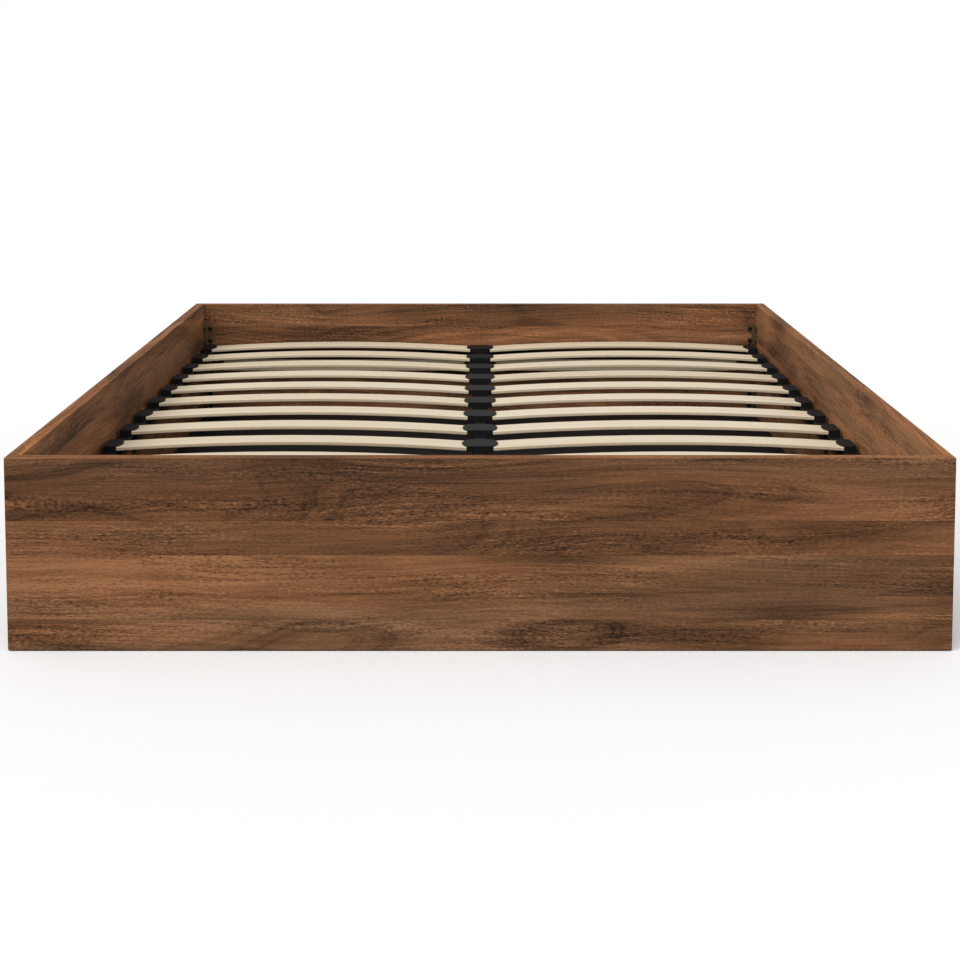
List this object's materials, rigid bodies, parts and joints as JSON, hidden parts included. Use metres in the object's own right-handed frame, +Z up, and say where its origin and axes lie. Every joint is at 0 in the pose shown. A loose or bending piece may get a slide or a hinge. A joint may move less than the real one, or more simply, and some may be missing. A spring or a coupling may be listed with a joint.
{
  "type": "platform bed with storage drawers",
  "caption": "Low platform bed for a double mattress: walnut-faced boards, a sprung slat frame on a steel frame, side drawers under the foot half and a storage bay under the head half.",
  "frame": {"origin": "on the floor, at the middle of the bed's footprint", "axes": "+Z up, +Y towards the head end, +X to the right as seen from the foot end"},
  "size_m": [1.66, 2.06, 0.345],
  "materials": {
    "walnut_board": "satin walnut-grain laminate on board, horizontal grain, edged to match",
    "carcass_board": "matt black melamine on board",
    "drawer_board": "matt charcoal melamine on board",
    "drawer_base": "smooth dark hardboard",
    "batten_wood": "planed pale softwood",
    "slat_plywood": "bent birch or beech plywood, fine grain, satin",
    "black_steel": "black powder coat",
    "black_plastic": "moulded, fine texture",
    "glide_plastic": "moulded",
    "passivated_steel": "zinc with yellow-olive passivation",
    "black_screw": "black zinc",
    "runner_steel": "bright zinc"
  },
  "bodies": {
    "root": {"foot_panel": "walnut_board", "head_panel": "walnut_board", "side_panel_upper_left": "walnut_board", "side_panel_upper_right": "walnut_board", "side_panel_lower_left": "walnut_board", "side_panel_lower_right": "walnut_board", "divider_panel": "carcass_board", "base_board": "carcass_board", "floor_glides": "glide_plastic", "base_glides": "glide_plastic", "frame_centre_beam": "black_steel", "frame_end_rail_foot": "black_steel", "frame_end_rail_head": "black_steel", "frame_side_rail_left": "black_steel", "frame_side_rail_right": "black_steel", "rail_end_caps": "black_plastic", "foot_battens": "batten_wood", "head_battens": "batten_wood", "beam_legs": "black_steel", "leg_feet": "black_plastic", "centre_holders": "black_plastic", "side_holders_left": "black_plastic", "side_holders_right": "black_plastic", "corner_brackets": "passivated_steel", "mid_brackets": "passivated_steel", "bracket_screws": "black_screw", "slats_row_01": "slat_plywood", "slats_row_02": "slat_plywood", "slats_row_03": "slat_plywood", "slats_row_04": "slat_plywood", "slats_row_05": "slat_plywood", "slats_row_06": "slat_plywood", "slats_row_07": "slat_plywood", "slats_row_08": "slat_plywood", "slats_row_09": "slat_plywood", "slats_row_10": "slat_plywood", "slats_row_11": "slat_plywood", "slats_row_12": "slat_plywood", "runners_left_fixed": "runner_steel", "runners_right_fixed": "runner_steel"},
    "drawer_left": {"drawer_left_front": "walnut_board", "drawer_left_side_foot": "drawer_board", "drawer_left_side_head": "drawer_board", "drawer_left_back": "drawer_board", "drawer_left_bottom": "drawer_base", "runners_left_drawer": "runner_steel"},
    "runner_middle_left": {"runners_left_middle": "runner_steel"},
    "drawer_right": {"drawer_right_front": "walnut_board", "drawer_right_side_foot": "drawer_board", "drawer_right_side_head": "drawer_board", "drawer_right_back": "drawer_board", "drawer_right_bottom": "drawer_base", "runners_right_drawer": "runner_steel"},
    "runner_middle_right": {"runners_right_middle": "runner_steel"}
  },
  "joints": [
    {"name": "drawer_left_slide", "type": "slide", "parent": "root", "child": "drawer_left", "axis": [-1, 0, 0], "range_m": [0, 0.56]},
    {"name": "runner_middle_left_slide", "type": "slide", "parent": "root", "child": "runner_middle_left", "axis": [-1, 0, 0], "range_m": [0, 0.28]},
    {"name": "drawer_right_slide", "type": "slide", "parent": "root", "child": "drawer_right", "axis": [1, 0, 0], "range_m": [0, 0.56]},
    {"name": "runner_middle_right_slide", "type": "slide", "parent": "root", "child": "runner_middle_right", "axis": [1, 0, 0], "range_m": [0, 0.28]}
  ],
  "couplings": [
    {"joint": "runner_middle_left_slide", "follows": "drawer_left_slide", "ratio": 0.5},
    {"joint": "runner_middle_right_slide", "follows": "drawer_right_slide", "ratio": 0.5}
  ]
}
